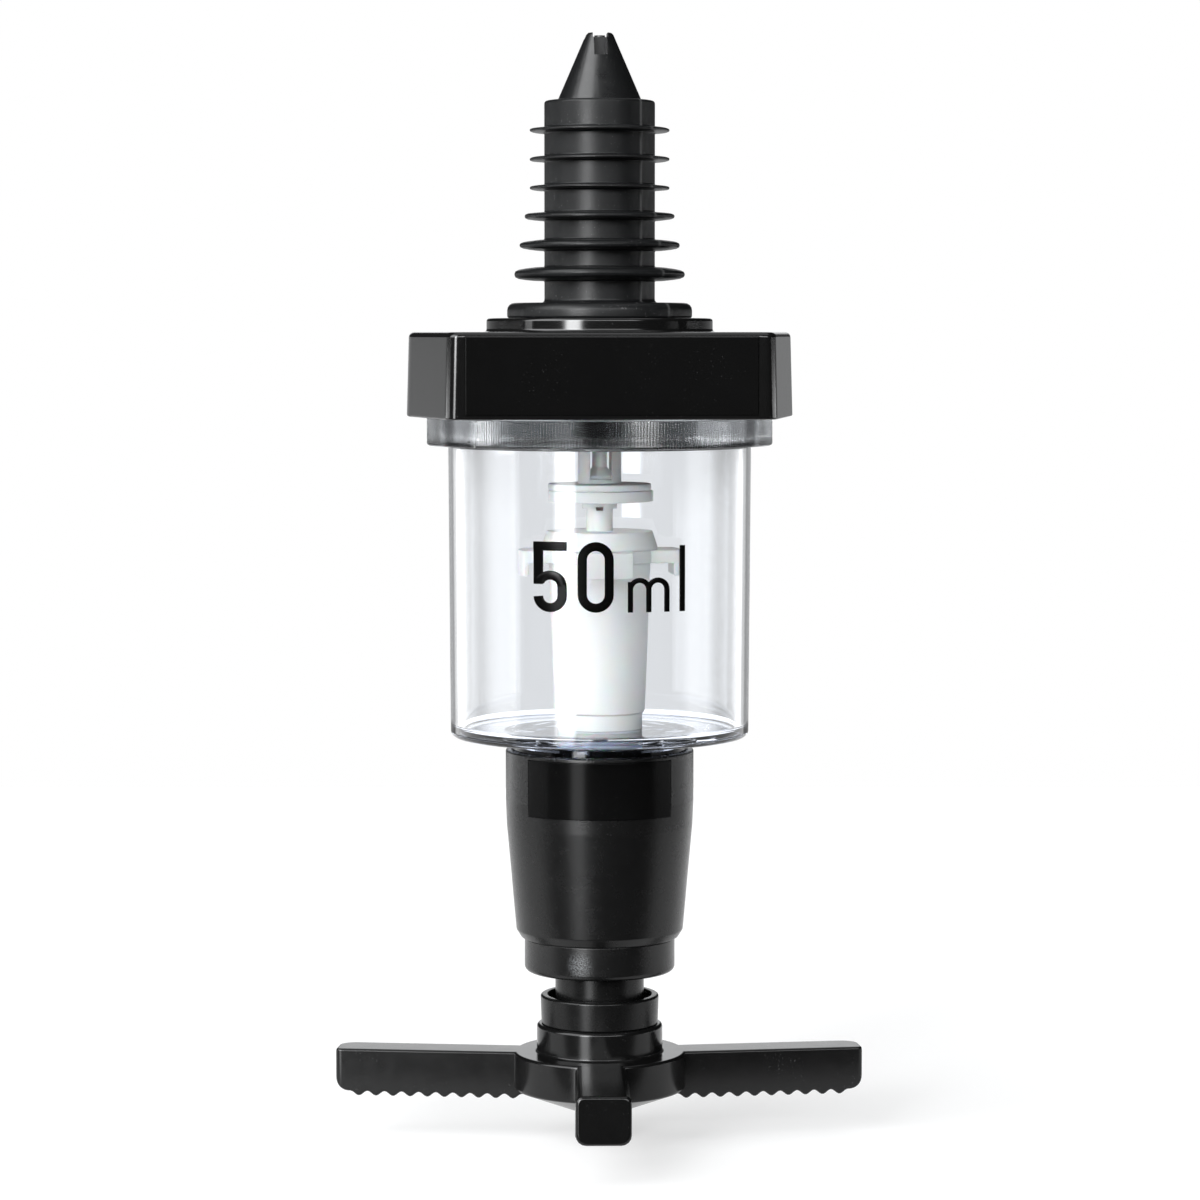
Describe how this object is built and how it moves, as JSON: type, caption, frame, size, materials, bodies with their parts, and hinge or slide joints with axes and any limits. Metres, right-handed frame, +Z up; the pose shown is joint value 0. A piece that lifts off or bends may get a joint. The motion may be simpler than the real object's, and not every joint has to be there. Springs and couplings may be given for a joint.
{
  "type": "liquor optic dispenser",
  "caption": "Spirit measure for an upturned bottle: finned stopper, flat-fronted cap, clear measuring chamber and a sprung crossbar that is pushed up to pour one dose.",
  "frame": {"origin": "on the axis of the dispenser, level with the underside of the measuring chamber, where a wall bracket holds it round the lower body", "axes": "+Z up along the axis towards the bottle; the front arm of the crossbar and the flat front of the cap face -Y; +X to the right seen from the front"},
  "size_m": [0.0855, 0.0673, 0.1776],
  "materials": {
    "stopper_rubber": "satin moulded rubber",
    "black_nylon": "satin moulded",
    "cap_black": "high gloss moulded",
    "panel_black": "gloss, bare",
    "clear_plastic": "clear polished",
    "mark_black": "raised ink",
    "white_plastic": "satin moulded",
    "seal_rubber": "soft seal",
    "white_seal": "soft white seal",
    "body_satin": "satin with a fine grain",
    "crossbar_black": "gloss moulded",
    "spring_steel": "drawn wire"
  },
  "bodies": {
    "housing": {"cork_stopper": "stopper_rubber", "inlet_nozzle": "black_nylon", "breather_tube": "black_nylon", "cap": "cap_black", "front_panel": "panel_black", "cap_gasket": "seal_rubber", "inlet_seat_washer": "seal_rubber", "measuring_chamber": "clear_plastic", "capacity_mark": "mark_black", "spring_column": "white_plastic", "wing_plate": "white_plastic", "bell_cap": "white_plastic", "outlet_seat_washer": "seal_rubber", "outlet_tube": "black_nylon", "spigot_o_ring": "seal_rubber", "lower_body": "body_satin", "body_panel": "panel_black", "retaining_collar": "body_satin", "guide_bush": "white_plastic", "neck_o_ring": "seal_rubber", "return_spring": "spring_steel"},
    "plunger": {"valve_stem": "white_plastic", "stem_head": "white_plastic", "guide_cage": "white_plastic", "inlet_seal_plate": "white_seal", "inlet_back_plate": "white_plastic", "spring_seat": "white_plastic", "outlet_plug": "seal_rubber", "swivel_foot": "white_plastic"},
    "lever": {"crossbar": "crossbar_black", "crossbar_cup": "black_nylon", "foot_clip": "spring_steel"}
  },
  "joints": [
    {"name": "plunger_lift", "type": "slide", "parent": "housing", "child": "plunger", "axis": [0, 0, 1], "range_m": [0, 0.006], "stiffness_N_per_m": 600, "springref_m": -0.004, "deforming": ["return_spring"]},
    {"name": "crossbar_swivel", "type": "hinge", "parent": "plunger", "child": "lever", "pos_m": [0, 0, -0.0567], "axis": [0, 0, 1], "continuous": true}
  ]
}
